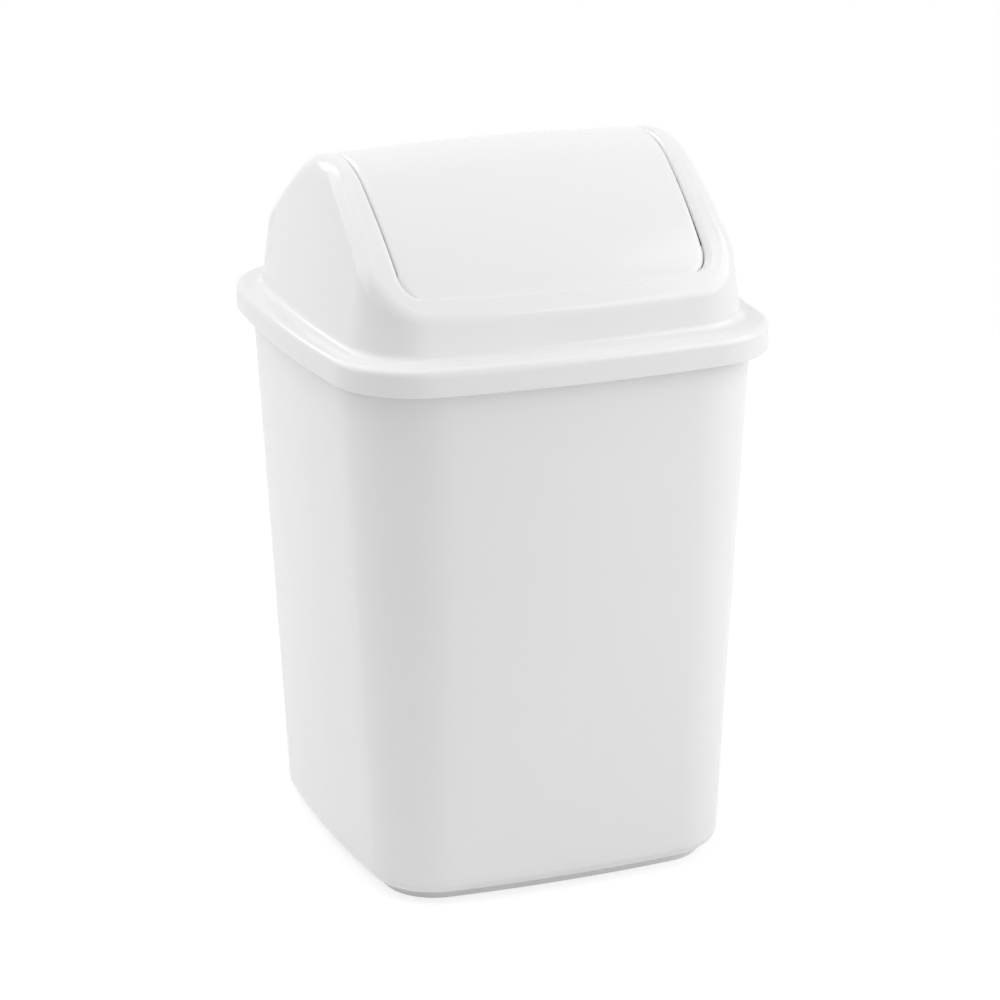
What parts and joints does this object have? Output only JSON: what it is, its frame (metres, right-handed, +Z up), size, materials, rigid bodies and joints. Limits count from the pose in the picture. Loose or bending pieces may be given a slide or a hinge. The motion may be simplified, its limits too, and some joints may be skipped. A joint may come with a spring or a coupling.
{
  "type": "swing lid countertop bin",
  "caption": "Small countertop waste bin: tapered rounded-square body under a lift-off domed hood with a two-way swing flap.",
  "frame": {"origin": "middle of the foot ring, on the surface the bin stands on", "axes": "+Z up, front faces -Y, the flap's pivot runs along X"},
  "size_m": [0.19, 0.193, 0.2965],
  "materials": {
    "bin": "glossy white polypropylene",
    "hood": "glossy white polypropylene",
    "flap": "glossy white polypropylene"
  },
  "bodies": {
    "bin": {"bin_body": "bin"},
    "hood": {"lid_hood": "hood"},
    "flap": {"swing_flap": "flap"}
  },
  "joints": [
    {"name": "lid_lift", "type": "slide", "parent": "bin", "child": "hood", "axis": [0, 0, 1], "range_m": [0, 0.1]},
    {"name": "flap_swing", "type": "hinge", "parent": "hood", "child": "flap", "pos_m": [0, 0, 0.2825], "axis": [1, 0, 0], "range_deg": [-65, 65]}
  ]
}
